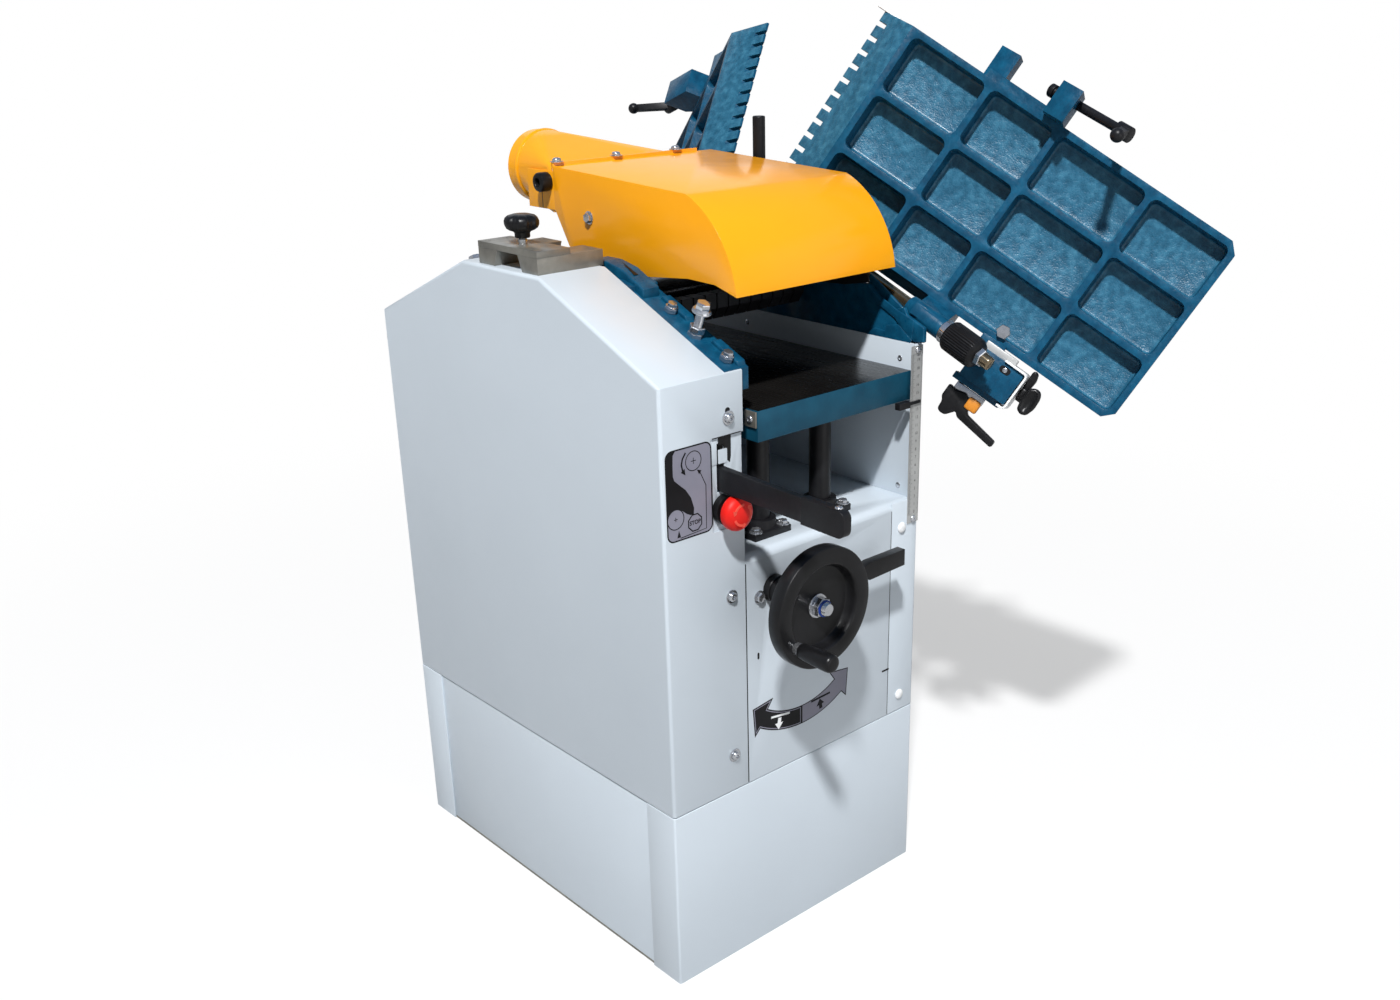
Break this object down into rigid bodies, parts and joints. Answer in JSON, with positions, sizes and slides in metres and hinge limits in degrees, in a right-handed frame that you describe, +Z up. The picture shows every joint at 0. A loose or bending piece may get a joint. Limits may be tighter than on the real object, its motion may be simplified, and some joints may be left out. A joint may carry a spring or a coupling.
{
  "type": "surface planer and thicknesser",
  "caption": "Floor-standing surface planer and thicknesser with folded-up ribbed planing tables, a suction hood over the cutter, a rising thickness table and a handwheel.",
  "frame": {"origin": "centre of the plinth's footprint, on the floor", "axes": "+X to the right along the handwheel side, +Y from the handwheel side to the back, +Z up"},
  "size_m": [0.6902, 1.0784, 1.0663],
  "materials": {
    "cabinet_paint": "gloss powder coat",
    "zinc_sheet": "zinc plated",
    "teal_casting": "enamelled casting",
    "bright_steel": "ground steel",
    "black_steel": "blackened",
    "black_plastic": "moulded",
    "hood_paint": "gloss powder coat",
    "stop_red": "gloss",
    "motor_shell": "cast",
    "drive_rubber": "moulded"
  },
  "bodies": {
    "base": {"plinth_front_panel": "cabinet_paint", "plinth_back_panel": "cabinet_paint", "plinth_side_panels": "cabinet_paint", "left_cover": "cabinet_paint", "right_side_panel": "cabinet_paint", "right_inner_wall": "cabinet_paint", "front_panel": "cabinet_paint", "back_panel": "cabinet_paint", "control_plate": "cabinet_paint", "plinth_base": "zinc_sheet", "cabinet_floor": "zinc_sheet", "lift_bracket": "zinc_sheet", "fence_plate": "zinc_sheet", "fence_rails": "zinc_sheet", "left_casting": "teal_casting", "right_casting": "teal_casting", "feed_gearbox": "teal_casting", "cutter_bearings": "bright_steel", "finger_bar": "bright_steel", "rear_hinge_shaft": "bright_steel", "table_rest_bolts": "bright_steel", "ruler": "bright_steel", "column_flanges": "black_steel", "table_stop_post": "black_steel", "wheel_bush": "black_plastic", "estop_base": "black_plastic", "motor": "motor_shell", "drive_belt": "drive_rubber"},
    "cutter": {"cutterblock": "bright_steel", "cutter_knives": "bright_steel", "cutter_pulley": "bright_steel"},
    "motor_drive": {"motor_rotor": "bright_steel"},
    "infeed": {"infeed_roller": "bright_steel"},
    "outfeed": {"outfeed_roller": "bright_steel"},
    "friction_wheel": {"feed_wheel": "drive_rubber"},
    "fingers": {"kickback_fingers": "black_steel"},
    "lift": {"thickness_table": "teal_casting", "lift_columns": "black_steel", "lift_screw": "bright_steel", "ruler_pointer": "black_steel"},
    "lift_nut": {"lift_gear_nut": "bright_steel"},
    "wheel": {"wheel_shaft": "bright_steel", "handwheel": "black_plastic"},
    "grip": {"wheel_grip": "black_plastic"},
    "lock": {"height_lock_lever": "black_plastic"},
    "lever": {"feed_lever": "black_steel"},
    "stop_stem": {"estop_stem": "black_plastic"},
    "stop_head": {"estop_head": "stop_red"},
    "front_slide": {"front_hinge_shaft": "bright_steel"},
    "depth_knob": {"front_depth_knob": "black_plastic"},
    "front_planer": {"front_table": "teal_casting", "guard_bracket": "teal_casting"},
    "front_clamp": {"front_clamp_lever": "black_steel"},
    "guard_wing": {"guard_wing_knob": "black_plastic"},
    "guard_ratchet": {"guard_ratchet_lever": "black_plastic"},
    "rear_planer": {"rear_table": "teal_casting"},
    "rear_clamp": {"rear_clamp_lever": "black_steel"},
    "suction_hood": {"hood": "hood_paint", "hood_duct": "hood_paint"},
    "bracket_knob": {"fence_knob": "black_plastic"}
  },
  "joints": [
    {"name": "cutter_spin", "type": "hinge", "parent": "base", "child": "cutter", "pos_m": [0, 0.015, 0.769], "axis": [1, 0, 0], "continuous": true},
    {"name": "motor_spin", "type": "hinge", "parent": "base", "child": "motor_drive", "pos_m": [0, 0.06, 0.33], "axis": [1, 0, 0], "continuous": true},
    {"name": "infeed_spin", "type": "hinge", "parent": "base", "child": "infeed", "pos_m": [0, -0.047, 0.747], "axis": [1, 0, 0], "continuous": true},
    {"name": "outfeed_spin", "type": "hinge", "parent": "base", "child": "outfeed", "pos_m": [0, 0.077, 0.747], "axis": [1, 0, 0], "continuous": true},
    {"name": "friction_wheel_spin", "type": "hinge", "parent": "base", "child": "friction_wheel", "pos_m": [-0.16, -0.045, 0.732], "axis": [1, 0, 0], "continuous": true},
    {"name": "fingers_swing", "type": "hinge", "parent": "base", "child": "fingers", "pos_m": [0, -0.08, 0.75], "axis": [1, 0, 0], "range_deg": [0, 40]},
    {"name": "handwheel_turn", "type": "hinge", "parent": "base", "child": "wheel", "pos_m": [-0.045, -0.33, 0.464], "axis": [0, 1, 0], "range_deg": [-8551, 4501]},
    {"name": "lift_nut_turn", "type": "hinge", "parent": "base", "child": "lift_nut", "pos_m": [-0.045, -0.125, 0.48], "axis": [0, 0, 1], "range_deg": [-8551, 4501]},
    {"name": "table_lift", "type": "slide", "parent": "base", "child": "lift", "axis": [0, 0, 1], "range_m": [-0.095, 0.05]},
    {"name": "grip_spin", "type": "hinge", "parent": "wheel", "child": "grip", "pos_m": [-0.089, -0.38, 0.431], "axis": [0, 1, 0], "continuous": true},
    {"name": "height_lock_turn", "type": "hinge", "parent": "base", "child": "lock", "pos_m": [-0.045, -0.31, 0.464], "axis": [0, 1, 0], "range_deg": [-10, 35]},
    {"name": "feed_lever_lift", "type": "hinge", "parent": "base", "child": "lever", "pos_m": [-0.118, -0.18, 0.613], "axis": [-1, 0, 0], "range_deg": [0, 13]},
    {"name": "stop_push", "type": "slide", "parent": "base", "child": "stop_stem", "axis": [0, 1, 0], "range_m": [0, 0.005]},
    {"name": "stop_twist", "type": "hinge", "parent": "stop_stem", "child": "stop_head", "pos_m": [-0.115, -0.285, 0.5765], "axis": [0, 1, 0], "range_deg": [0, 30], "stiffness_Nm_per_rad": 0.05},
    {"name": "front_depth", "type": "slide", "parent": "base", "child": "front_slide", "axis": [0, 0.9272, 0.3746], "range_m": [-0.01, 0]},
    {"name": "depth_knob_turn", "type": "hinge", "parent": "front_slide", "child": "depth_knob", "pos_m": [0.209, -0.30951, 0.71609], "axis": [0, 0.9272, 0.3746], "range_deg": [-2401, 1]},
    {"name": "front_fold", "type": "hinge", "parent": "front_slide", "child": "front_planer", "pos_m": [0.209, 0.015, 0.8472], "axis": [0, 0.9272, 0.3746], "range_deg": [-118, 0]},
    {"name": "front_clamp_turn", "type": "hinge", "parent": "front_planer", "child": "front_clamp", "pos_m": [0.37231, -0.32985, 0.97212], "axis": [0.0182, 0.9306, 0.3656], "range_deg": [0, 80]},
    {"name": "guard_wing_turn", "type": "hinge", "parent": "front_planer", "child": "guard_wing", "pos_m": [0.27924, -0.36498, 0.64119], "axis": [-0.3308, 0.7938, 0.5104], "continuous": true},
    {"name": "guard_ratchet_turn", "type": "hinge", "parent": "front_planer", "child": "guard_ratchet", "pos_m": [0.23623, -0.29598, 0.6412], "axis": [-0.4695, 0.3308, -0.8187], "range_deg": [-60, 60]},
    {"name": "rear_fold", "type": "hinge", "parent": "base", "child": "rear_planer", "pos_m": [0.209, 0.015, 0.8472], "axis": [0, 0.9272, -0.3746], "range_deg": [-126.3, 0]},
    {"name": "rear_clamp_turn", "type": "hinge", "parent": "rear_planer", "child": "rear_clamp", "pos_m": [0.39894, 0.3331, 0.96035], "axis": [-0.0166, 0.9315, -0.3632], "range_deg": [0, 80]},
    {"name": "hood_lift", "type": "slide", "parent": "base", "child": "suction_hood", "axis": [-0.6429, 0, 0.7659], "range_m": [0, 0.5305]},
    {"name": "bracket_knob_turn", "type": "hinge", "parent": "base", "child": "bracket_knob", "pos_m": [-0.171, -0.009, 0.85], "axis": [0, 0, 1], "continuous": true}
  ],
  "couplings": [
    {"joint": "motor_spin", "follows": "cutter_spin", "ratio": 0.54167},
    {"joint": "outfeed_spin", "follows": "infeed_spin", "ratio": 1},
    {"joint": "friction_wheel_spin", "follows": "infeed_spin", "ratio": 4},
    {"joint": "handwheel_turn", "follows": "table_lift", "rad_per_m": 1570.8},
    {"joint": "lift_nut_turn", "follows": "table_lift", "rad_per_m": 1570.8},
    {"joint": "depth_knob_turn", "follows": "front_depth", "rad_per_m": 4188.8},
    {"joint": "rear_fold", "follows": "front_fold", "ratio": 1.0695},
    {"joint": "hood_lift", "follows": "front_fold", "m_per_rad": -0.25734}
  ]
}
